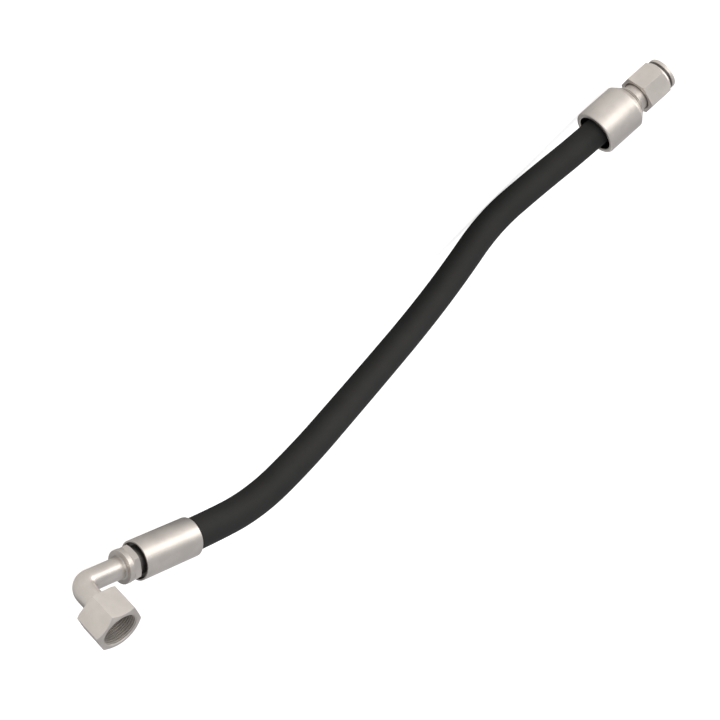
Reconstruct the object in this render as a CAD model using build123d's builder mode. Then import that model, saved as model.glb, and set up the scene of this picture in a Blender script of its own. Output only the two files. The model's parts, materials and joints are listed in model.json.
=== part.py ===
from build123d import *
import os
from math import cos, pi, radians, sin, tan

# Hydraulic hose assembly, lying on a flat surface at Z = 0, with +Z up.
# One end is a 90 degree elbow with a swivel nut, the other a straight bell-shouldered ferrule with
# a swivel nut. Both nuts are M30 x 2 on 24 degree cones with an O-ring, for a 3/4 inch hose.

# ---- Driving dimensions, millimetres and degrees -------------------------------------------------

# hose: radii of its concentric layers
hose_r = 13.85
outer_braid_r = 12.65
interlayer_r = 12.0
inner_braid_r = 11.75
liner_r = 11.1
hose_bore_r = 9.5
bond_line = 0.03
hose_insertion = 49.0

# where the two ends lie
elbow_corner = Vector(-367.7, 9.6, 6.9)
elbow_yaw = -21.9
elbow_rise = 14.2
elbow_lean = 16.0
straight_mouth = Vector(293.8, -14.7, 23.6)
straight_yaw = 14.4
straight_rise = 3.1

# hose tails and swivel joints, alike on both ends
tail_r = 9.3
barb_pitch = 6.0
barb_r = 9.45
barb_rise = 0.4
barb_drop = 0.45
bore_r = 6.8
lock_groove_r = 11.0
lock_lip_r = 11.06
lip_length = 3.0
grip_r = 13.92
grip_groove_r = 14.7
grip_pitch = 6.0
grip_land = 2.4
grip_slope = 0.8
lock_play = 0.3
tail_shoulder = 1.6
wire_r = 1.0
wire_gap = 0.06
nut_flats = 36.0
nut_face_r = 17.4
elbow_nut_chamfer = 30.0
straight_nut_chamfer = 38.0
running_gap = 0.08
thread_minor_r = 13.92
thread_relief_r = 15.2
mouth_chamfer = 1.3
back_chamfer = 0.9
back_edge = 0.8
cone_half_angle = 12.0
seal_r = 1.2
seal_offset = 2.2
seal_groove_depth = 1.9

# elbow end, measured from the corner along the hose axis (a) and along the nut axis (z)
tube_r = 9.0
tube_bore_r = 6.5
bend_r = 9.6
braze_gap = 0.03
braze_size = 1.2
braze_hollow = 0.42
collar_a = 38.5
collar_thickness = 4.4
collar_r = 14.15
socket_depth = 7.5
stem_flats = 27.0
stem_hex_length = 6.2
elbow_ferrule_a = 53.5
elbow_ferrule_end_a = 110.8
elbow_ferrule_r = 16.7
pocket_r = 15.2
pocket_depth = 3.4
entry_length = 2.6
grip_end_setback = 16.0
elbow_tip_setback = 3.8
elbow_nut_z = 24.9
elbow_nut_mouth_z = 51.6
elbow_nut_turn = 2.0
head_back_z = 25.2
head_r = 12.6
head_wire_z = 28.0
head_cone_z = 30.2
head_nose_z = 37.0
stem_neck_r = 11.9
stem_hex_turn = 0.0
stem_hex_corner_r = 15.6
stem_hex_chamfer = 1.1

# straight end, measured from the ferrule's mouth along its axis (s)
bell_r = 23.7
bell_bore_r = 19.0
bell_depth = 17.0
bell_end_s = 41.0
shoulder_end_s = 50.0
shoulder_r = 16.2
rim_rounding = 1.9
lock_ring_r = 15.6
lock_ring_gap = 0.45
lock_ring_width = 1.5
neck_r = 13.75
straight_nut_s = 58.6
hex_end_s = 86.5
groove_s = 88.0
groove_r = 15.6
collar_ring_s = 91.2
collar_ring_r = 16.5
straight_nut_mouth_s = 95.0
straight_nut_turn = 35.5
straight_wire_s = 63.0
straight_cone_s = 67.0
straight_nose_s = 78.2
seat_r = 12.2
hose_end_s = 42.0
tail_tip_s = 4.0
ring_seat_r = 13.0
lock_ring_split = 2.5

# hose route between its two straight tails: control points of a smooth curve
hose_run_from_ferrule = 122.0
hose_run_before_mouth = 18.0
hose_bends = [
    (-202, -51.5, 49.5),
    (-139.5, -52, 48.5),
    (-80, -60, 43),
    (-19.5, -65, 37.5),
    (41, -65.5, 31.5),
    (99, -60.5, 23.5),
    (158.5, -46.5, 12.5),
    (218, -33, 16.5),
]


# ---- Axes and planes -----------------------------------------------------------------------------


def direction(yaw, rise):
    """Unit vector at a heading in the horizontal plane and a rise above it."""
    a, b = radians(yaw), radians(rise)
    return Vector(cos(b) * cos(a), cos(b) * sin(a), sin(b))


def level_left(yaw):
    """Horizontal unit vector to the left of a heading."""
    return Vector(-sin(radians(yaw)), cos(radians(yaw)), 0)


hose_dir = direction(elbow_yaw, elbow_rise)
elbow_left = level_left(elbow_yaw)
elbow_lift = hose_dir.cross(elbow_left)
nut_dir = elbow_lift * cos(radians(elbow_lean)) + elbow_left * sin(radians(elbow_lean))
elbow_side = Plane(elbow_corner, x_dir=hose_dir, z_dir=hose_dir.cross(nut_dir))
hose_axis = Axis(elbow_corner, hose_dir)
nut_axis = Axis(elbow_corner, nut_dir)

straight_dir = direction(straight_yaw, straight_rise)
straight_left = level_left(straight_yaw)
straight_lift = straight_dir.cross(straight_left)
straight_side = Plane(straight_mouth, x_dir=straight_dir, z_dir=straight_dir.cross(straight_lift))
straight_axis = Axis(straight_mouth, straight_dir)


def along_hose_axis(a):
    return Plane(elbow_corner + hose_dir * a, x_dir=nut_dir, z_dir=hose_dir)


def along_nut_axis(z):
    return Plane(elbow_corner + nut_dir * z, x_dir=hose_dir, z_dir=nut_dir)


def along_straight_axis(s):
    return Plane(straight_mouth + straight_dir * s, x_dir=straight_lift, z_dir=straight_dir)


# ---- Profiles shared by both ends ----------------------------------------------------------------


def barbs(first, last):
    """Barbed outline of a hose tail, from its shoulder at first to its tip at last."""
    pitch = barb_pitch if last > first else -barb_pitch
    count = int(abs(last - first) / barb_pitch) - 1
    points = []
    for i in range(count):
        at = first + pitch * (i + 0.5)
        points += [(at, tail_r), (at + pitch * barb_rise, barb_r), (at + pitch * barb_drop, tail_r)]
    return points + [(last - pitch * 0.25, tail_r), (last, tail_r - 1.0)]


def grip_ridges(first, last):
    """Inner outline of a ferrule's grip: lands that bear on the hose cover, grooves between."""
    count = int((last - first) / grip_pitch)
    points = []
    for i in range(count):
        at = first + grip_pitch * i
        points += [
            (at, grip_r),
            (at + grip_land, grip_r),
            (at + grip_land + grip_slope, grip_groove_r),
            (at + grip_pitch - grip_slope, grip_groove_r),
        ]
    return points + [(first + grip_pitch * count, grip_r), (last, grip_r)]


def cone_nose(first, last, large_r, inner_r):
    """Outline of a 24 degree cone with its seal groove, from first to its nose at last."""

    def cone_r(at):
        return large_r - (at - first) * tan(radians(cone_half_angle))

    near = first + seal_offset
    far = near + 2 * seal_r + 0.2
    floor = cone_r(near) - seal_groove_depth
    return [
        (first, large_r),
        (near, cone_r(near)),
        (near, floor),
        (far, floor),
        (far, cone_r(far)),
        (last, cone_r(last)),
        (last, inner_r),
    ]


def seal_centre(first, large_r):
    """Position along the axis and radius of the middle of the seal's round section."""
    near = first + seal_offset
    floor = large_r - seal_offset * tan(radians(cone_half_angle)) - seal_groove_depth
    return near + seal_r + 0.1, floor + seal_r + 0.03


def wire_groove(at, surface_r, depth):
    """Square groove of the thrust wire, centred at a place along the axis."""
    half = wire_r + wire_gap
    return [(at - half, surface_r), (at - half, surface_r + depth), (at + half, surface_r + depth),
            (at + half, surface_r)]


def swapped(points):
    """The same outline for a part whose axis is the plane's second direction."""
    return [(r, at) for at, r in points]


def outline(plane, points, rounding=None):
    """Closed profile on a plane through the axis; rounding maps a point's index to its radius."""
    radii = [0] * len(points)
    for index, radius in (rounding or {}).items():
        radii[index] = radius
    with BuildSketch(plane) as profile:
        with BuildLine():
            FilletPolyline(*points, radius=radii, close=True)
        make_face()
    return profile.sketch


# ---- Hose ----------------------------------------------------------------------------------------

hose_route = [
    elbow_corner + hose_dir * (elbow_ferrule_end_a - hose_insertion),
    elbow_corner + hose_dir * hose_run_from_ferrule,
    *[Vector(*point) for point in hose_bends],
    straight_mouth - straight_dir * hose_run_before_mouth,
    straight_mouth + straight_dir * hose_end_s,
]
runs = [b - a for a, b in zip(hose_route, hose_route[1:])]
turns = [a.get_angle(b) for a, b in zip(runs, runs[1:])]
hose_radii = [
    0.45 * min(a.length, b.length) / tan(radians(turn) / 2)
    for a, b, turn in zip(runs, runs[1:], turns)
]
with BuildLine() as hose_line:
    FilletPolyline(*hose_route, radius=hose_radii)
hose_start = Plane(hose_line.line @ 0, z_dir=hose_line.line % 0)

hose_layers = {
    "hose_liner": (hose_bore_r, liner_r),
    "hose_inner_braid": (liner_r + bond_line, inner_braid_r),
    "hose_interlayer": (inner_braid_r + bond_line, interlayer_r),
    "hose_outer_braid": (interlayer_r + bond_line, outer_braid_r),
    "hose_cover": (outer_braid_r + bond_line, hose_r),
}
pieces = {}
for name, (inner, outer) in hose_layers.items():
    with BuildPart() as layer:
        with BuildSketch(hose_start):
            Circle(outer)
            Circle(inner, mode=Mode.SUBTRACT)
        sweep(path=hose_line.line)
    pieces[name] = layer

# ---- Elbow end -----------------------------------------------------------------------------------

stem_hex_a = collar_a + collar_thickness
stem_neck_a = stem_hex_a + stem_hex_length
elbow_lip_a = elbow_ferrule_a + pocket_depth
elbow_tail_a = elbow_lip_a + lip_length + tail_shoulder
elbow_tip_a = elbow_ferrule_end_a - elbow_tip_setback
socket_end_a = collar_a + socket_depth

with BuildPart() as elbow_ferrule:
    revolve(
        outline(
            elbow_side,
            [
                (elbow_ferrule_a, pocket_r),
                (elbow_ferrule_a, elbow_ferrule_r),
                (elbow_ferrule_end_a, elbow_ferrule_r),
                (elbow_ferrule_end_a, grip_r + 1.0),
                (elbow_ferrule_end_a - entry_length, grip_r + 0.45),
                *reversed(grip_ridges(elbow_lip_a + lip_length, elbow_ferrule_end_a - grip_end_setback)),
                (elbow_lip_a + lip_length, lock_lip_r),
                (elbow_lip_a, lock_lip_r),
                (elbow_lip_a, pocket_r),
            ],
            {1: 0.6, 2: 1.2},
        ),
        axis=hose_axis,
    )
pieces["elbow_ferrule"] = elbow_ferrule

with BuildPart() as elbow_stem:
    revolve(
        outline(
            elbow_side,
            [
                (collar_a, tube_r + braze_gap),
                (collar_a, collar_r),
                (stem_hex_a, collar_r),
                (stem_hex_a, stem_neck_r),
                (elbow_lip_a - lock_play, stem_neck_r),
                (elbow_lip_a - lock_play, lock_groove_r),
                (elbow_lip_a + lip_length + lock_play, lock_groove_r),
                (elbow_lip_a + lip_length + lock_play, stem_neck_r),
                (elbow_tail_a, stem_neck_r),
                (elbow_tail_a, tail_r),
                *barbs(elbow_tail_a, elbow_tip_a),
                (elbow_tip_a, bore_r),
                (socket_end_a, bore_r),
                (socket_end_a, tube_r + braze_gap),
            ],
            {1: 0.5, 2: 0.5},
        ),
        axis=hose_axis,
    )
    with BuildSketch(along_hose_axis(stem_hex_a)):
        RegularPolygon(stem_flats / 2, 6, major_radius=False, rotation=stem_hex_turn)
        Circle(stem_neck_r - 0.5, mode=Mode.SUBTRACT)
    stem_hex = extrude(amount=stem_hex_length, mode=Mode.PRIVATE)
    stem_barrel = revolve(
        outline(
            elbow_side,
            [
                (stem_hex_a, 0),
                (stem_hex_a, stem_flats / 2 + 0.4),
                (stem_hex_a + stem_hex_chamfer, stem_hex_corner_r),
                (stem_neck_a - stem_hex_chamfer, stem_hex_corner_r),
                (stem_neck_a, stem_flats / 2 + 0.4),
                (stem_neck_a, 0),
            ],
        ),
        axis=hose_axis,
        mode=Mode.PRIVATE,
    )
    add(stem_hex & stem_barrel)
pieces["elbow_stem"] = elbow_stem

with BuildPart() as elbow_tube:
    with BuildLine(elbow_side) as bend:
        FilletPolyline((socket_end_a - 0.1, 0), (0, 0), (0, head_cone_z - 0.1), radius=bend_r)
    with BuildSketch(Plane(bend.line @ 0, z_dir=bend.line % 0)):
        Circle(tube_r)
        Circle(tube_bore_r, mode=Mode.SUBTRACT)
    sweep(path=bend.line)
pieces["elbow_tube"] = elbow_tube

fillet_foot = tube_r + braze_gap
with BuildPart() as collar_braze:
    revolve(
        outline(
            elbow_side,
            [
                (collar_a, fillet_foot),
                (collar_a, fillet_foot + braze_size),
                (collar_a - braze_hollow, fillet_foot + braze_hollow),
                (collar_a - braze_size, fillet_foot),
            ],
        ),
        axis=hose_axis,
    )
pieces["collar_braze"] = collar_braze

with BuildPart() as elbow_seat:
    revolve(
        outline(
            elbow_side,
            swapped(
                [
                    (head_back_z, tube_r + braze_gap),
                    (head_back_z, head_r),
                    *wire_groove(head_wire_z, head_r, -wire_r),
                    (head_cone_z, head_r),
                    *cone_nose(head_cone_z, head_nose_z, seat_r, tube_bore_r),
                    (head_cone_z, tube_bore_r),
                    (head_cone_z, tube_r + braze_gap),
                ]
            ),
        ),
        axis=nut_axis,
    )
pieces["elbow_seat"] = elbow_seat

with BuildPart() as seat_braze:
    revolve(
        outline(
            elbow_side,
            swapped(
                [
                    (head_back_z, fillet_foot),
                    (head_back_z, fillet_foot + braze_size),
                    (head_back_z - braze_hollow, fillet_foot + braze_hollow),
                    (head_back_z - braze_size, fillet_foot),
                ]
            ),
        ),
        axis=nut_axis,
    )
pieces["seat_braze"] = seat_braze

elbow_seal_z, elbow_seal_r = seal_centre(head_cone_z, seat_r)
with BuildPart() as elbow_seal:
    with BuildSketch(elbow_side):
        with Locations((elbow_seal_r, elbow_seal_z)):
            Circle(seal_r)
    revolve(axis=nut_axis)
pieces["elbow_seal"] = elbow_seal

with BuildPart() as elbow_thrust_wire:
    with BuildSketch(elbow_side):
        with Locations((head_r + wire_gap, head_wire_z)):
            Circle(wire_r)
    revolve(axis=nut_axis)
pieces["elbow_thrust_wire"] = elbow_thrust_wire

nut_corner_r = nut_flats / 2 / cos(radians(30)) + 0.01
elbow_chamfer_length = (nut_corner_r - nut_face_r) * tan(radians(elbow_nut_chamfer))
straight_chamfer_length = (nut_corner_r - nut_face_r) * tan(radians(straight_nut_chamfer))
with BuildPart() as elbow_swivel_nut:
    with BuildSketch(along_nut_axis(elbow_nut_z)):
        RegularPolygon(nut_flats / 2, 6, major_radius=False, rotation=elbow_nut_turn)
    extrude(amount=elbow_nut_mouth_z - elbow_nut_z)
    revolve(
        outline(
            elbow_side,
            swapped(
                [
                    (elbow_nut_z, 0),
                    (elbow_nut_z, nut_corner_r - back_edge * 1.7),
                    (elbow_nut_z + back_edge, nut_corner_r),
                    (elbow_nut_mouth_z - elbow_chamfer_length, nut_corner_r),
                    (elbow_nut_mouth_z, nut_face_r),
                    (elbow_nut_mouth_z, 0),
                ]
            ),
        ),
        axis=nut_axis,
        mode=Mode.INTERSECT,
    )
    revolve(
        outline(
            elbow_side,
            swapped(
                [
                    (elbow_nut_z - 1, 0),
                    (elbow_nut_z - 1, head_r + running_gap + back_chamfer + 1),
                    (elbow_nut_z + back_chamfer, head_r + running_gap),
                    *wire_groove(head_wire_z, head_r + running_gap, wire_r + wire_gap),
                    (head_cone_z, head_r + running_gap),
                    (head_cone_z, thread_relief_r),
                    (head_nose_z, thread_relief_r),
                    (head_nose_z + 0.4, thread_minor_r),
                    (elbow_nut_mouth_z - mouth_chamfer, thread_minor_r),
                    (elbow_nut_mouth_z + 1, thread_minor_r + mouth_chamfer + 1),
                    (elbow_nut_mouth_z + 1, 0),
                ]
            ),
        ),
        axis=nut_axis,
        mode=Mode.SUBTRACT,
    )
pieces["elbow_swivel_nut"] = elbow_swivel_nut

# ---- Straight end --------------------------------------------------------------------------------

lip_s = shoulder_end_s - lip_length
lock_ring_s = shoulder_end_s + lock_ring_gap
lock_ring_end_s = lock_ring_s + lock_ring_width
ring_seat_s = lock_ring_end_s + 0.15

with BuildPart() as straight_ferrule:
    revolve(
        outline(
            straight_side,
            [
                (0, bell_bore_r),
                (0, bell_r),
                (bell_end_s, bell_r),
                (shoulder_end_s - 0.8, shoulder_r + 0.8),
                (shoulder_end_s, shoulder_r),
                (shoulder_end_s, lock_lip_r),
                (lip_s, lock_lip_r),
                *reversed(grip_ridges(bell_depth + 3.0, lip_s)),
                (bell_depth, bell_bore_r),
            ],
            {0: 0.8, 1: rim_rounding, 2: 1.0},
        ),
        axis=straight_axis,
    )
pieces["straight_ferrule"] = straight_ferrule

with BuildPart() as lock_ring:
    revolve(
        outline(
            straight_side,
            [
                (lock_ring_s, ring_seat_r + 0.05),
                (lock_ring_s, lock_ring_r),
                (lock_ring_end_s, lock_ring_r),
                (lock_ring_end_s, ring_seat_r + 0.05),
            ],
            {1: 0.4, 2: 0.4},
        ),
        axis=straight_axis,
    )
    with BuildSketch(along_straight_axis(shoulder_end_s)):
        with Locations((-ring_seat_r - 1, 0)):
            Rectangle(6, lock_ring_split)
    extrude(amount=lock_ring_end_s - shoulder_end_s + 1, mode=Mode.SUBTRACT)
pieces["lock_ring"] = lock_ring

with BuildPart() as straight_stem:
    revolve(
        outline(
            straight_side,
            [
                (tail_tip_s, bore_r),
                *reversed(barbs(lip_s - 1.0, tail_tip_s)),
                (lip_s - 1.0, tail_r),
                (lip_s - 1.0, stem_neck_r),
                (lip_s - lock_play, stem_neck_r),
                (lip_s - lock_play, lock_groove_r),
                (shoulder_end_s + 0.05, lock_groove_r),
                (shoulder_end_s + 0.05, ring_seat_r),
                (ring_seat_s, ring_seat_r),
                (ring_seat_s, neck_r),
                *wire_groove(straight_wire_s, neck_r, -wire_r),
                (straight_cone_s, neck_r),
                *cone_nose(straight_cone_s, straight_nose_s, seat_r, bore_r),
            ],
        ),
        axis=straight_axis,
    )
pieces["straight_stem"] = straight_stem

straight_seal_s, straight_seal_r = seal_centre(straight_cone_s, seat_r)
with BuildPart() as straight_seal:
    with BuildSketch(straight_side):
        with Locations((straight_seal_s, straight_seal_r)):
            Circle(seal_r)
    revolve(axis=straight_axis)
pieces["straight_seal"] = straight_seal

with BuildPart() as straight_thrust_wire:
    with BuildSketch(straight_side):
        with Locations((straight_wire_s, neck_r + wire_gap)):
            Circle(wire_r)
    revolve(axis=straight_axis)
pieces["straight_thrust_wire"] = straight_thrust_wire

with BuildPart() as straight_swivel_nut:
    with BuildSketch(along_straight_axis(straight_nut_s)):
        RegularPolygon(nut_flats / 2, 6, major_radius=False, rotation=straight_nut_turn)
    extrude(amount=straight_nut_mouth_s - straight_nut_s)
    revolve(
        outline(
            straight_side,
            [
                (straight_nut_s, 0),
                (straight_nut_s, nut_corner_r - back_edge * 1.7),
                (straight_nut_s + back_edge, nut_corner_r),
                (hex_end_s - straight_chamfer_length, nut_corner_r),
                (hex_end_s, nut_face_r),
                (groove_s, nut_face_r - 0.4),
                (groove_s, groove_r),
                (collar_ring_s, groove_r),
                (collar_ring_s, collar_ring_r),
                (straight_nut_mouth_s, collar_ring_r),
                (straight_nut_mouth_s, 0),
            ],
            {8: 0.4, 9: 0.9},
        ),
        axis=straight_axis,
        mode=Mode.INTERSECT,
    )
    revolve(
        outline(
            straight_side,
            [
                (straight_nut_s - 1, 0),
                (straight_nut_s - 1, neck_r + running_gap + back_chamfer + 1),
                (straight_nut_s + back_chamfer, neck_r + running_gap),
                *wire_groove(straight_wire_s, neck_r + running_gap, wire_r + wire_gap),
                (straight_cone_s, neck_r + running_gap),
                (straight_cone_s, thread_relief_r),
                (straight_nose_s, thread_relief_r),
                (straight_nose_s + 0.4, thread_minor_r),
                (straight_nut_mouth_s - mouth_chamfer, thread_minor_r),
                (straight_nut_mouth_s + 1, thread_minor_r + mouth_chamfer + 1),
                (straight_nut_mouth_s + 1, 0),
            ],
        ),
        axis=straight_axis,
        mode=Mode.SUBTRACT,
    )
pieces["straight_swivel_nut"] = straight_swivel_nut

# ---- Files and figures ---------------------------------------------------------------------------

os.makedirs("parts", exist_ok=True)
for name, piece in pieces.items():
    piece.part.label = name
    export_step(piece.part, f"parts/{name}.step")

print("bend radii along the hose:", [round(radius) for radius in hose_radii])
cover_section = pi * (hose_r**2 - (outer_braid_r + bond_line) ** 2)
hose_length = hose_line.wire().length
cover_share = pieces["hose_cover"].part.volume / (cover_section * hose_length)
print("hose length:", round(hose_length, 1), "cover volume / section x length:", round(cover_share, 4))
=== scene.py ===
import json
import math

import bpy
from bpy.props import FloatProperty, FloatVectorProperty, IntProperty, PointerProperty
from mathutils import Matrix, Vector


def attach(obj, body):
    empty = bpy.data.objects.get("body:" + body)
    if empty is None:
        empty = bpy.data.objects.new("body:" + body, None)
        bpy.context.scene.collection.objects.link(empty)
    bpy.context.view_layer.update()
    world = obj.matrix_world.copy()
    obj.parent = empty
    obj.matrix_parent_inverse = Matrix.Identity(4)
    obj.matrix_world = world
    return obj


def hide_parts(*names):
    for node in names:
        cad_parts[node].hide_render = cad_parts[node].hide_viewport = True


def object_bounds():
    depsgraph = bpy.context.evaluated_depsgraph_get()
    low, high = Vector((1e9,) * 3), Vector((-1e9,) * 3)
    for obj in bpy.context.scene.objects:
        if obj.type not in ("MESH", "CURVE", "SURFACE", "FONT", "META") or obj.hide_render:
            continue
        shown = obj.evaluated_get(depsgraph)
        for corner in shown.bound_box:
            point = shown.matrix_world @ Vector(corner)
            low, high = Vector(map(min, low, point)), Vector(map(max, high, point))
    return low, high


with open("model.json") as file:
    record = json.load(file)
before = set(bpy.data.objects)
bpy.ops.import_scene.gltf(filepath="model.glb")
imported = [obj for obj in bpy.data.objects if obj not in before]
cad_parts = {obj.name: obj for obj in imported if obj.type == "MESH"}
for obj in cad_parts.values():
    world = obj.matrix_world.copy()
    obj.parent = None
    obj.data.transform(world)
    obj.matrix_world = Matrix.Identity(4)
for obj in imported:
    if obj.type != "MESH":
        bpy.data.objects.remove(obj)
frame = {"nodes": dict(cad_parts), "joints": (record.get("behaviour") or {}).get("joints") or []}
cad_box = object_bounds()

bl_info = {
    "name": "Hydraulic hose assembly",
    "version": (1, 0, 0),
    "blender": (4, 5, 0),
    "location": "View3D > Sidebar > Hose",
    "description": "Hose, threaded swivel nuts, finishes and a pale studio for a hose assembly",
    "category": "Object",
}

# ---- Places, in metres ---------------------------------------------------------------------------

HOSE_BODY = "hose_body"
ELBOW_CORNER = Vector((-0.3677, 0.0096, 0.0069))
STRAIGHT_MOUTH = Vector((0.2938, -0.0147, 0.0236))
MM = 0.001

JOINTS = {joint["name"]: joint for joint in frame["joints"]}


def heading(yaw, rise):
    """Unit vector at a yaw in the level plane and a rise above it, both in degrees."""
    a, b = math.radians(yaw), math.radians(rise)
    return Vector((math.cos(b) * math.cos(a), math.cos(b) * math.sin(a), math.sin(b)))


ELBOW_YAW = -21.9
ELBOW_RISE = 14.2
HOSE_DIRECTION = heading(ELBOW_YAW, ELBOW_RISE)
NUT_DIRECTION = Vector(JOINTS["elbow_nut_spin"]["axis"])
STRAIGHT_DIRECTION = Vector(JOINTS["straight_nut_spin"]["axis"])

# the hose's route: the same points as its solid has, in millimetres
HOSE_START = 61.8
HOSE_RUN_FROM_FERRULE = 122.0
HOSE_RUN_BEFORE_MOUTH = 18.0
HOSE_END = 42.0
HOSE_BENDS = [
    (-202, -51.5, 49.5),
    (-139.5, -52, 48.5),
    (-80, -60, 43),
    (-19.5, -65, 37.5),
    (41, -65.5, 31.5),
    (99, -60.5, 23.5),
    (158.5, -46.5, 12.5),
    (218, -33, 16.5),
]
HOSE_ROUTE = [
    ELBOW_CORNER + HOSE_DIRECTION * HOSE_START * MM,
    ELBOW_CORNER + HOSE_DIRECTION * HOSE_RUN_FROM_FERRULE * MM,
    *[Vector(point) * MM for point in HOSE_BENDS],
    STRAIGHT_MOUTH - STRAIGHT_DIRECTION * HOSE_RUN_BEFORE_MOUTH * MM,
    STRAIGHT_MOUTH + STRAIGHT_DIRECTION * HOSE_END * MM,
]


class AxisFrame:
    """A point and a direction in space, with its own upright coordinates."""

    def __init__(self, origin, direction):
        self.origin = Vector(origin)
        self.direction = Vector(direction).normalized()
        self.turn = self.direction.to_track_quat("Z", "Y")

    def matrix(self, along=0.0):
        place = Matrix.Translation(self.origin + self.direction * along)
        return place @ self.turn.to_matrix().to_4x4()


ELBOW_HOSE_AXIS = AxisFrame(ELBOW_CORNER, HOSE_DIRECTION)
ELBOW_NUT_AXIS = AxisFrame(ELBOW_CORNER, NUT_DIRECTION)
STRAIGHT_AXIS = AxisFrame(STRAIGHT_MOUTH, STRAIGHT_DIRECTION)


# spacing of the yarns in the cover's cloth impression, in metres
YARN_PITCH = 0.0008
# each nut's thread: its end's name, its axis and how far the tap reaches along it, in millimetres
NUT_THREADS = [
    ("elbow", ELBOW_NUT_AXIS, 36.0, 54.0),
    ("straight", STRAIGHT_AXIS, 77.4, 97.5),
]

# painted shade in the hollows, where shadow falls: start and end along the axis, reach from it in
# millimetres, share of light
ELBOW_NECK_SHADE = [(49.1, 111.0, 12.1, 0.32)]
ELBOW_POCKET_SHADE = [(53.9, 111.0, 15.3, 0.3)]
BELL_INSIDE_SHADE = [(1.0, 47.0, 19.3, 0.14)]
STRAIGHT_NECK_SHADE = [(0.0, 52.6, 13.4, 0.12)]
NUT_HOLLOW_SHADE = {
    "elbow": [(24.0, 37.0, 15.3, 0.1), (37.0, 50.6, 15.2, 0.85)],
    "straight": [(88.1, 91.1, 15.9, 0.16), (57.0, 94.0, 15.3, 0.4)],
}

# ---- Studio --------------------------------------------------------------------------------------

PAPER = ((0.78, 0.78, 0.78), (0.82, 0.82, 0.82))
# brightness of the studio by the height of a direction, from the horizon to overhead
SKY_STOPS = [
    (0.0, (1.2, 1.2, 1.2)),
    (0.25, (0.68, 0.68, 0.69)),
    (0.6, (0.5, 0.5, 0.51)),
    (0.85, (0.52, 0.52, 0.53)),
    (1.0, (0.66, 0.66, 0.67)),
]
# the floor is lit paper to the eye, and grey with a bright front to the metal that reflects it
FLOOR_BOUNCE = (0.2, 0.2, 0.2)
FLOOR_GLOW_STOPS = [
    (0.0, (0.1, 0.1, 0.11)),
    (0.483, (0.1, 0.1, 0.1)),
    (0.51, (0.66, 0.65, 0.64)),
    (0.62, (0.95, 0.92, 0.88)),
    (1.0, (1.0, 0.97, 0.92)),
]
FLOOR_GLOW_SPAN = (-1.0, 1.0)
FLOOR_SEEN_GLOW = (0.7, 0.7, 0.7)
SKY_SEEN = (1.1, 1.1, 1.1)
LENS = 75.0
SENSOR_WIDTH = 36.0
# name, place from the middle of the object, size, power in watts, colour
STUDIO_LIGHTS = [
    ("front_softbox", (-0.1, 1.72, 0.58), (1.7, 1.0), 10.0, (1.0, 0.965, 0.92)),
    ("side_softbox", (1.5, 0.72, 0.54), (1.3, 0.95), 9.0, (1.0, 0.965, 0.92)),
]


# ---- Settings ------------------------------------------------------------------------------------


class HoseSettings(bpy.types.PropertyGroup):
    radius: FloatProperty(
        name="Radius", description="Outside radius of the hose cover", default=0.01385, unit="LENGTH"
    )
    length: FloatProperty(
        name="Length", description="Length of the hose with its crimped tails", default=0.6657, unit="LENGTH"
    )
    colour: FloatVectorProperty(
        name="Colour",
        description="Colour of the rubber cover",
        default=(0.013, 0.013, 0.0125),
        subtype="COLOR",
    )


class MetalSettings(bpy.types.PropertyGroup):
    colour: FloatVectorProperty(
        name="Plating", description="Colour of the plated steel", default=(0.68, 0.64, 0.6), subtype="COLOR"
    )
    roughness: FloatProperty(
        name="Roughness", description="Roughness of the plated steel", default=0.4, min=0.0, max=1.0
    )


class ThreadSettings(bpy.types.PropertyGroup):
    pitch: FloatProperty(name="Pitch", description="Of both nuts' threads", default=0.002, unit="LENGTH")
    major_radius: FloatProperty(
        name="Major radius", description="Radius at the bottom of the thread", default=0.015, unit="LENGTH"
    )
    flank_depth: FloatProperty(
        name="Flank depth", description="From the tap's crest to its core", default=0.0013, unit="LENGTH"
    )
    steps: IntProperty(name="Steps", description="Facets in one turn of the thread", default=72)


class StageSettings(bpy.types.PropertyGroup):
    floor_size: FloatProperty(
        name="Floor size", description="Side of the square floor", default=80.0, unit="LENGTH"
    )
    camera_distance: FloatProperty(
        name="Camera distance", description="From the camera to where it aims", default=1.31366, unit="LENGTH"
    )
    camera_azimuth: FloatProperty(
        name="Camera azimuth", description="Round the object", default=math.radians(206.4), subtype="ANGLE"
    )
    camera_elevation: FloatProperty(
        name="Camera elevation", description="Above the horizon", default=math.radians(5.51), subtype="ANGLE"
    )
    camera_roll: FloatProperty(
        name="Camera roll",
        description="Turn about the view axis",
        default=math.radians(133.84),
        subtype="ANGLE",
    )
    camera_aim: FloatVectorProperty(
        name="Camera aim",
        description="Where the camera aims, from the middle of the object",
        default=(-0.04257, -0.02192, -0.00734),
        subtype="TRANSLATION",
    )


# ---- Shader maths --------------------------------------------------------------------------------


class Value:
    """A number socket of a finish; arithmetic on it adds Math nodes."""

    def __init__(self, finish, socket):
        self.finish = finish
        self.socket = socket

    def maths(self, operation, *others):
        return self.finish.add("ShaderNodeMath", {"operation": operation}, (self, *others))

    def __add__(self, other):
        return self.maths("ADD", other)

    __radd__ = __add__

    def __mul__(self, other):
        return self.maths("MULTIPLY", other)

    def __pow__(self, other):
        return self.maths("POWER", other)

    def between(self, low, high, ease="SMOOTHSTEP"):
        """0 at low, 1 at high, clamped."""
        return self.finish.add(
            "ShaderNodeMapRange",
            {"clamp": True, "interpolation_type": ease},
            {"Value": self, "From Min": low, "From Max": high},
        )


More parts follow.
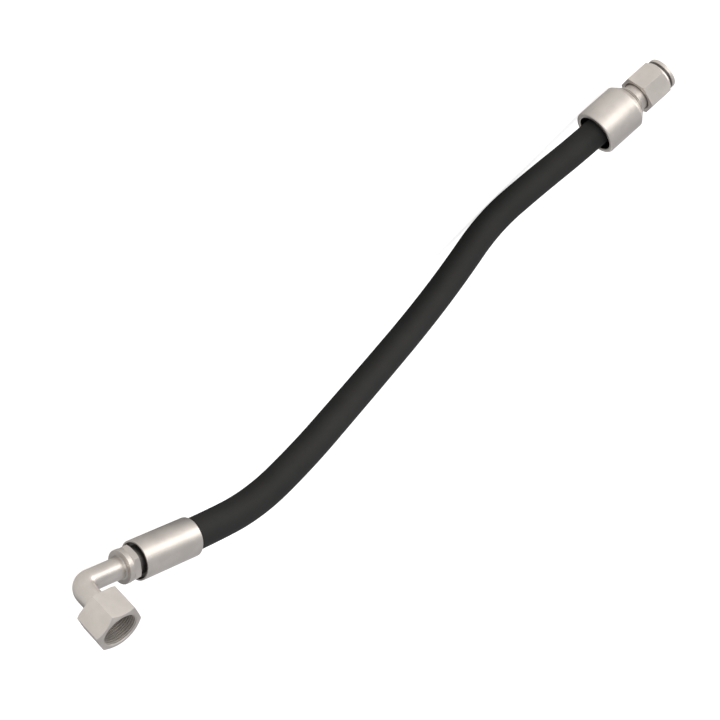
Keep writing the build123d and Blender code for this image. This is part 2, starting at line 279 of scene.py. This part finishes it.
class Finish:
    """A procedural material on the principled shader."""

    def __init__(self, name, viewport_colour, **uniform):
        self.material = bpy.data.materials.new(name)
        self.material.use_nodes = True
        self.material.diffuse_color = (*viewport_colour, 1.0)
        self.nodes = self.material.node_tree.nodes
        self.links = self.material.node_tree.links
        self.nodes.clear()
        self.shader = self.nodes.new("ShaderNodeBsdfPrincipled")
        surface = self.nodes.new("ShaderNodeOutputMaterial")
        self.links.new(self.shader.outputs["BSDF"], surface.inputs["Surface"])
        for socket, value in uniform.items():
            self.shader.inputs[socket.replace("_", " ")].default_value = value

    def join(self, value, socket):
        if isinstance(value, Value):
            self.links.new(value.socket, socket)
        else:
            socket.default_value = value

    def add(self, kind, settings=None, inputs=(), output=0):
        """Adds any node: its settings first, then the values or links of its sockets."""
        node = self.nodes.new(kind)
        for key, value in (settings or {}).items():
            if key == "stops":
                self.set_stops(node.color_ramp, value)
            else:
                setattr(node, key, value)
        pairs = inputs.items() if isinstance(inputs, dict) else enumerate(inputs)
        for key, value in pairs:
            self.join(value, node.inputs[key])
        return Value(self, node.outputs[output])

    @staticmethod
    def set_stops(ramp, stops):
        while len(ramp.elements) < len(stops):
            ramp.elements.new(1.0)
        for element, (position, colour) in zip(ramp.elements, stops):
            element.position = position
            element.color = (*colour, 1.0)

    def set(self, socket, value):
        self.join(value, self.shader.inputs[socket])

    def place(self):
        return self.add("ShaderNodeTexCoord", output="Object")

    def along(self, axis):
        """Coordinates that turn and start with an axis: Z runs along it."""
        return self.add(
            "ShaderNodeMapping",
            {"vector_type": "TEXTURE"},
            {"Vector": self.place(), "Location": axis.origin, "Rotation": axis.turn.to_euler()},
        )

    def parts(self, vector):
        node = self.nodes.new("ShaderNodeSeparateXYZ")
        self.join(vector, node.inputs[0])
        return [Value(self, node.outputs[i]) for i in range(3)]

    def vector(self, x, y, z):
        return self.add("ShaderNodeCombineXYZ", {}, (x, y, z))

    def scaled(self, vector, factors):
        return self.add("ShaderNodeVectorMath", {"operation": "MULTIPLY"}, (vector, factors))

    def noise(self, vector, scale, detail=3.0, roughness=0.55):
        return self.add(
            "ShaderNodeTexNoise",
            {"noise_dimensions": "3D"},
            {"Vector": vector, "Scale": scale, "Detail": detail, "Roughness": roughness},
        )

    def mixed(self, factor, first, second):
        """Between two colours."""
        node = self.nodes.new("ShaderNodeMix")
        node.data_type = "RGBA"
        self.join(factor, node.inputs[0])
        for value, index in ((first, 6), (second, 7)):
            self.join(value if isinstance(value, Value) else (*value, 1.0), node.inputs[index])
        return Value(self, node.outputs[2])

    def bump(self, height, distance, strength=1.0, normal=None):
        inputs = {"Height": height, "Distance": distance, "Strength": strength}
        if normal is not None:
            inputs["Normal"] = normal
        return self.add("ShaderNodeBump", {}, inputs)

    def rounded_edges(self, radius):
        return self.add("ShaderNodeBevel", {"samples": 6}, {"Radius": radius})


# ---- Finishes ------------------------------------------------------------------------------------


def shade_of(colour, factor):
    return tuple(channel * factor for channel in colour)


def plated_metal(name, colour, roughness):
    """Zinc-plated steel with its cloudy tone; lines are added by the caller."""
    finish = Finish(name, colour, Metallic=1.0, Roughness=roughness)
    cloud = finish.noise(finish.place(), 60.0, 4.0)
    tone = finish.mixed(cloud.between(0.3, 0.75), shade_of(colour, 0.93), shade_of(colour, 1.05))
    finish.set("Base Color", tone)
    return finish, cloud


def hollow(radius, z, start, end, reach):
    """1 inside a hollow between two places along an axis and closer to it than its reach, else 0."""
    inside = z.maths("GREATER_THAN", start * MM) * z.maths("LESS_THAN", end * MM)
    return inside * radius.maths("LESS_THAN", reach * MM)


# painted shade: inside each hollow the plating colour is mixed down to its share of light
def paint_hollow_shade(finish, colour, radius, z, shaded_hollows):
    for start, end, reach, share in shaded_hollows:
        plating = Value(finish, finish.shader.inputs["Base Color"].links[0].from_socket)
        inside = hollow(radius, z, start, end, reach)
        finish.set("Base Color", finish.mixed(inside, plating, shade_of(colour, share)))


def turned_metal(name, axis, colour, roughness, shaded_hollows=(), edge=0.00025):
    """Plated steel turned on a lathe: fine rings round its axis, with painted shade in its hollows."""
    finish, cloud = plated_metal(name, colour, roughness)
    x, y, z = finish.parts(finish.along(axis))
    radius = (x * x + y * y) ** 0.5
    # painted shade: the plating is darkened in the listed hollows
    paint_hollow_shade(finish, colour, radius, z, shaded_hollows)
    rings = finish.noise(finish.vector(radius, z, 0.0), 5200.0, 2.0)
    grain = finish.noise(finish.place(), 2400.0, 2.0)
    finish.set("Roughness", roughness - 0.04 + cloud * 0.06 + rings * 0.05)
    finish.set("Normal", finish.bump(rings * 0.7 + grain * 0.3, 0.000012, 0.6, finish.rounded_edges(edge)))
    return finish.material


def bar_metal(name, axis, colour, roughness, shaded_hollows, edge=0.0003):
    """Plated hexagon bar: faint drawn lines along its axis, with painted shade in its hollows."""
    finish, cloud = plated_metal(name, colour, roughness)
    local = finish.along(axis)
    x, y, z = finish.parts(local)
    # painted shade: the plating is darkened in the listed hollows
    paint_hollow_shade(finish, colour, (x * x + y * y) ** 0.5, z, shaded_hollows)
    drawn = finish.noise(finish.scaled(local, (1.0, 1.0, 0.06)), 3600.0, 2.0)
    grain = finish.noise(finish.place(), 1800.0, 3.0)
    finish.set("Roughness", roughness - 0.04 + cloud * 0.07 + grain * 0.04)
    finish.set("Normal", finish.bump(drawn * 0.5 + grain * 0.5, 0.000014, 0.6, finish.rounded_edges(edge)))
    return finish.material


def tube_metal(name, colour, roughness):
    """Plated drawn tube: smooth, slightly orange-peeled."""
    finish, cloud = plated_metal(name, colour, roughness)
    peel = finish.noise(finish.place(), 420.0, 3.0)
    finish.set("Roughness", roughness - 0.03 + cloud * 0.06)
    finish.set("Normal", finish.bump(peel, 0.00003, 0.5))
    return finish.material


def braze_metal(name, colour):
    finish = Finish(name, colour, Metallic=1.0, Roughness=0.45)
    lumps = finish.noise(finish.place(), 700.0, 4.0)
    finish.set("Base Color", finish.mixed(lumps, shade_of(colour, 0.8), shade_of(colour, 1.1)))
    finish.set("Normal", finish.bump(lumps, 0.0002))
    return finish.material


def wire_metal(name, colour):
    finish = Finish(name, colour, Metallic=1.0, Roughness=0.3)
    grain = finish.noise(finish.place(), 900.0, 3.0)
    finish.set("Roughness", 0.25 + grain * 0.15)
    return finish.material


def seal_rubber(name, colour):
    finish = Finish(name, colour, Roughness=0.5)
    bloom = finish.noise(finish.place(), 300.0, 4.0)
    finish.set("Base Color", finish.mixed(bloom, colour, shade_of(colour, 1.8)))
    finish.set("Roughness", 0.42 + bloom * 0.15)
    return finish.material


def cover_rubber(name, colour, length, girth):
    """Rubber cover with the fine cloth impression of its curing wrap, a weave along and around the hose."""
    finish = Finish(name, colour, Roughness=0.6, IOR=1.42)
    u, v, _ = finish.parts(finish.add("ShaderNodeTexCoord", output="UV"))
    along, around = u * length, v * girth
    cloud = finish.noise(finish.place(), 45.0, 4.0)
    grain = finish.noise(finish.place(), 2600.0, 3.0)
    yarn = 2.0 * math.pi / YARN_PITCH
    weave = (along * yarn).maths("SINE") * (around * yarn).maths("SINE")
    tone = finish.mixed(cloud.between(0.25, 0.8), shade_of(colour, 0.85), shade_of(colour, 1.25))
    finish.set("Base Color", tone)
    finish.set("Roughness", 0.62 + cloud * 0.12 + grain * 0.06)
    finish.set("Normal", finish.bump(weave * 0.35 + grain * 0.6, 0.00004, 0.7))
    return finish.material


# ---- Modelling helpers ---------------------------------------------------------------------------


def deselect_all():
    if bpy.context.object and bpy.context.object.mode != "OBJECT":
        bpy.ops.object.mode_set(mode="OBJECT")
    bpy.ops.object.select_all(action="DESELECT")


def smooth(obj, angle=30.0):
    deselect_all()
    obj.select_set(True)
    bpy.context.view_layer.objects.active = obj
    bpy.ops.object.shade_smooth_by_angle(angle=math.radians(angle))


def give_finish(obj, material):
    obj.data.materials.clear()
    obj.data.materials.append(material)


def copy_of_node(node, name):
    """A merged copy of a CAD node's mesh, as a new piece."""
    piece = bpy.data.objects.new(name, frame["nodes"][node].data.copy())
    bpy.context.scene.collection.objects.link(piece)
    edit(piece)
    bpy.ops.mesh.select_all(action="SELECT")
    bpy.ops.mesh.remove_doubles(threshold=1e-6)
    bpy.ops.object.mode_set(mode="OBJECT")
    return piece


def edit(piece):
    deselect_all()
    piece.select_set(True)
    bpy.context.view_layer.objects.active = piece
    bpy.ops.object.mode_set(mode="EDIT")


def cut_flat(height, keep_above):
    """Cuts everything in edit mode at a height, drops one side and closes the cut."""
    bpy.ops.mesh.select_all(action="SELECT")
    bpy.ops.mesh.bisect(
        plane_co=(0.0, 0.0, height),
        plane_no=(0.0, 0.0, 1.0),
        use_fill=True,
        clear_inner=keep_above,
        clear_outer=not keep_above,
    )


def thread_tap(name, axis, start, end, settings):
    """A tap: a threaded rod on an axis from start to end, used to cut an internal thread."""
    pitch, major = settings.pitch, settings.major_radius
    flank = settings.flank_depth
    rise = flank * math.tan(math.radians(30.0))
    crest = pitch / 8
    root = (pitch - crest - 2 * rise) / 2
    turns = math.ceil((end - start) / pitch) + 2
    deselect_all()
    bpy.ops.mesh.primitive_plane_add(size=pitch, location=(major - flank, 0.0, -pitch))
    tap = bpy.context.object
    tap.name = name
    bpy.ops.object.transform_apply()
    bpy.ops.object.mode_set(mode="EDIT")
    bpy.ops.mesh.select_all(action="SELECT")
    bpy.ops.mesh.merge(type="CENTER")
    for move in ((0.0, root), (flank, rise), (0.0, crest), (-flank, rise), (0.0, root)):
        bpy.ops.mesh.extrude_region_move(TRANSFORM_OT_translate={"value": (move[0], 0.0, move[1])})
    bpy.ops.object.mode_set(mode="OBJECT")
    screw = tap.modifiers.new("helix", "SCREW")
    screw.axis = "Z"
    screw.angle = 2 * math.pi
    screw.screw_offset = pitch
    screw.iterations = turns
    screw.steps = settings.steps
    screw.render_steps = settings.steps
    screw.use_merge_vertices = True
    screw.merge_threshold = 1e-6
    bpy.ops.object.modifier_apply(modifier="helix")
    edit(tap)
    bpy.ops.mesh.select_all(action="SELECT")
    bpy.ops.mesh.remove_doubles(threshold=2e-6)
    cut_flat(pitch * 0.5, True)
    cut_flat(pitch * 0.5 + end - start, False)
    bpy.ops.mesh.select_all(action="SELECT")
    bpy.ops.mesh.normals_make_consistent(inside=False)
    bpy.ops.object.mode_set(mode="OBJECT")
    tap.matrix_world = axis.matrix(start - pitch * 0.5)
    bpy.ops.object.transform_apply()
    return tap


def tapped_nut(name, node, body, tap, material):
    """The nut of a CAD node with its thread cut by a tap."""
    nut = copy_of_node(node, name)
    deselect_all()
    nut.select_set(True)
    bpy.context.view_layer.objects.active = nut
    thread = nut.modifiers.new("thread", "BOOLEAN")
    thread.operation = "DIFFERENCE"
    thread.solver = "EXACT"
    thread.object = tap
    bpy.ops.object.modifier_apply(modifier="thread")
    bpy.ops.mesh.customdata_custom_splitnormals_clear()
    bpy.data.objects.remove(tap)
    smooth(nut, 28.0)
    give_finish(nut, material)
    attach(nut, body)
    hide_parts(node)
    return nut


# ---- Operators -----------------------------------------------------------------------------------


class HOSE_OT_cover(bpy.types.Operator):
    """Model the rubber hose along its route"""

    bl_idname = "hose.cover"
    bl_label = "Hose"

    def execute(self, context):
        settings = context.scene.hose_settings
        curve = bpy.data.curves.new("hose", "CURVE")
        curve.dimensions = "3D"
        spline = curve.splines.new("NURBS")
        spline.points.add(len(HOSE_ROUTE) - 1)
        for point, place in zip(spline.points, HOSE_ROUTE):
            point.co = (*place, 1.0)
        spline.order_u = 3
        spline.use_endpoint_u = True
        spline.resolution_u = 24
        curve.bevel_depth = settings.radius
        curve.bevel_resolution = 14
        curve.use_fill_caps = True
        hose = bpy.data.objects.new("hose", curve)
        context.scene.collection.objects.link(hose)
        girth = 2.0 * math.pi * settings.radius
        curve.materials.append(cover_rubber("hose_cover_rubber", settings.colour, settings.length, girth))
        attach(hose, HOSE_BODY)
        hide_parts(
            "hose_liner", "hose_inner_braid", "hose_interlayer", "hose_outer_braid", "hose_cover"
        )
        return {"FINISHED"}


class HOSE_OT_fittings(bpy.types.Operator):
    """Give the two end fittings their plated finishes"""

    bl_idname = "hose.fittings"
    bl_label = "End fittings"

    def execute(self, context):
        metal = context.scene.metal_settings
        colour, rough = tuple(metal.colour), metal.roughness
        finishes = {
            "elbow_ferrule": turned_metal(
                "elbow_ferrule_plating", ELBOW_HOSE_AXIS, colour, rough, ELBOW_POCKET_SHADE
            ),
            "elbow_stem": turned_metal("elbow_stem_plating", ELBOW_HOSE_AXIS, colour, rough, ELBOW_NECK_SHADE),
            "elbow_tube": tube_metal("elbow_tube_plating", colour, rough - 0.04),
            "elbow_seat": turned_metal("elbow_seat_plating", ELBOW_NUT_AXIS, colour, rough),
            "straight_ferrule": turned_metal(
                "straight_ferrule_plating", STRAIGHT_AXIS, colour, rough, BELL_INSIDE_SHADE
            ),
            "straight_stem": turned_metal(
                "straight_stem_plating", STRAIGHT_AXIS, colour, rough, STRAIGHT_NECK_SHADE
            ),
            "lock_ring": turned_metal("lock_ring_plating", STRAIGHT_AXIS, colour, rough),
        }
        braze = braze_metal("braze_fillet", (0.5, 0.48, 0.45))
        wire = wire_metal("spring_wire", (0.45, 0.45, 0.46))
        seal = seal_rubber("seal_rubber", (0.012, 0.012, 0.012))
        finishes.update(collar_braze=braze, seat_braze=braze)
        finishes.update(elbow_thrust_wire=wire, straight_thrust_wire=wire)
        finishes.update(elbow_seal=seal, straight_seal=seal)
        for name, material in finishes.items():
            give_finish(frame["nodes"][name], material)
        return {"FINISHED"}


class HOSE_OT_nuts(bpy.types.Operator):
    """Cut the threads of the two swivel nuts and give them their finish"""

    bl_idname = "hose.nuts"
    bl_label = "Swivel nuts"

    def execute(self, context):
        thread = context.scene.thread_settings
        metal = context.scene.metal_settings
        for end, axis, start, stop in NUT_THREADS:
            tap = thread_tap(f"{end}_tap", axis, start * MM, stop * MM, thread)
            finish = bar_metal(
                f"{end}_nut_plating", axis, tuple(metal.colour), metal.roughness + 0.04, NUT_HOLLOW_SHADE[end]
            )
            tapped_nut(f"{end}_threaded_nut", f"{end}_swivel_nut", f"{end}_nut", tap, finish)
        return {"FINISHED"}


class HOSE_OT_stage(bpy.types.Operator):
    """Set the pale floor, the soft lights and the camera"""

    bl_idname = "hose.stage"
    bl_label = "Stage"

    def execute(self, context):
        stage = context.scene.stage_settings
        self.add_floor(stage)
        self.add_world(context.scene)
        self.add_lights()
        self.add_camera(context.scene, stage)
        context.scene.view_settings.view_transform = "Standard"
        return {"FINISHED"}

    def add_floor(self, stage):
        deselect_all()
        bpy.ops.mesh.primitive_plane_add(size=stage.floor_size)
        floor = bpy.context.object
        floor.name = "floor"
        finish = Finish("floor_paper", (0.9, 0.9, 0.9), Roughness=0.9, Emission_Strength=1.0)
        fibre = finish.noise(finish.place(), 900.0, 4.0)
        seen = finish.add("ShaderNodeLightPath")
        paper = finish.mixed(fibre, *PAPER)
        finish.set("Base Color", finish.mixed(seen, FLOOR_BOUNCE, paper))
        front = finish.parts(finish.place())[1].between(*FLOOR_GLOW_SPAN, "LINEAR")
        glow = finish.add("ShaderNodeValToRGB", {"stops": FLOOR_GLOW_STOPS}, (front,))
        finish.set("Emission Color", finish.mixed(seen, glow, FLOOR_SEEN_GLOW))
        floor.data.materials.append(finish.material)

    def add_world(self, scene):
        """White to the eye, a darker studio to the metal: brightest at the horizon, dim above the lights."""
        world = bpy.data.worlds.new("studio")
        scene.world = world
        world.use_nodes = True
        tree = world.node_tree
        background = tree.nodes["Background"]
        direction = tree.nodes.new("ShaderNodeTexCoord")
        split = tree.nodes.new("ShaderNodeSeparateXYZ")
        ramp = tree.nodes.new("ShaderNodeValToRGB")
        rays = tree.nodes.new("ShaderNodeLightPath")
        mix = tree.nodes.new("ShaderNodeMix")
        mix.data_type = "RGBA"
        Finish.set_stops(ramp.color_ramp, SKY_STOPS)
        tree.links.new(direction.outputs["Generated"], split.inputs[0])
        tree.links.new(split.outputs["Z"], ramp.inputs[0])
        tree.links.new(ramp.outputs["Color"], mix.inputs[6])
        mix.inputs[7].default_value = (*SKY_SEEN, 1.0)
        tree.links.new(rays.outputs["Is Camera Ray"], mix.inputs[0])
        tree.links.new(mix.outputs[2], background.inputs["Color"])

    def add_lights(self):
        middle = (cad_box[0] + cad_box[1]) / 2
        for name, offset, size, power, colour in STUDIO_LIGHTS:
            lamp = bpy.data.lights.new(name, "AREA")
            lamp.shape = "RECTANGLE"
            lamp.size, lamp.size_y = size
            lamp.energy = power
            lamp.color = colour
            light = bpy.data.objects.new(name, lamp)
            bpy.context.scene.collection.objects.link(light)
            light.location = middle + Vector(offset)
            light.rotation_mode = "QUATERNION"
            light.rotation_quaternion = (middle - light.location).to_track_quat("-Z", "Y")

    def add_camera(self, scene, stage):
        azimuth, elevation = stage.camera_azimuth, stage.camera_elevation
        back = Vector(
            (
                math.sin(azimuth) * math.cos(elevation),
                -math.cos(azimuth) * math.cos(elevation),
                math.sin(elevation),
            )
        )
        middle = (cad_box[0] + cad_box[1]) / 2
        aim = middle + Vector(stage.camera_aim)
        lens = bpy.data.cameras.new("camera")
        lens.lens = LENS
        lens.sensor_width = SENSOR_WIDTH
        camera = bpy.data.objects.new("camera", lens)
        scene.collection.objects.link(camera)
        level = (-back).to_track_quat("-Z", "Y")
        rolled = level.to_matrix() @ Matrix.Rotation(stage.camera_roll, 3, "Z")
        camera.matrix_world = Matrix.Translation(aim + back * stage.camera_distance) @ rolled.to_4x4()
        scene.camera = camera


class HOSE_PT_panel(bpy.types.Panel):
    """Lists the operators of the hose assembly"""

    bl_idname = "HOSE_PT_panel"
    bl_label = "Hose assembly"
    bl_space_type = "VIEW_3D"
    bl_region_type = "UI"
    bl_category = "Hose"

    def draw(self, context):
        for operator in OPERATORS:
            self.layout.operator(operator.bl_idname)
        for name in SETTINGS:
            group = getattr(context.scene, name)
            for prop in group.__annotations__:
                self.layout.prop(group, prop)


OPERATORS = (HOSE_OT_cover, HOSE_OT_fittings, HOSE_OT_nuts, HOSE_OT_stage)
SETTINGS = {
    "hose_settings": HoseSettings,
    "metal_settings": MetalSettings,
    "thread_settings": ThreadSettings,
    "stage_settings": StageSettings,
}


def register():
    for cls in (*SETTINGS.values(), *OPERATORS, HOSE_PT_panel):
        bpy.utils.register_class(cls)
    for name, group in SETTINGS.items():
        setattr(bpy.types.Scene, name, PointerProperty(type=group))


def unregister():
    for name in SETTINGS:
        delattr(bpy.types.Scene, name)
    for cls in reversed((*SETTINGS.values(), *OPERATORS, HOSE_PT_panel)):
        bpy.utils.unregister_class(cls)


def main():
    register()
    bpy.ops.hose.cover()
    bpy.ops.hose.fittings()
    bpy.ops.hose.nuts()
    bpy.ops.hose.stage()


if __name__ == "__main__":
    main()
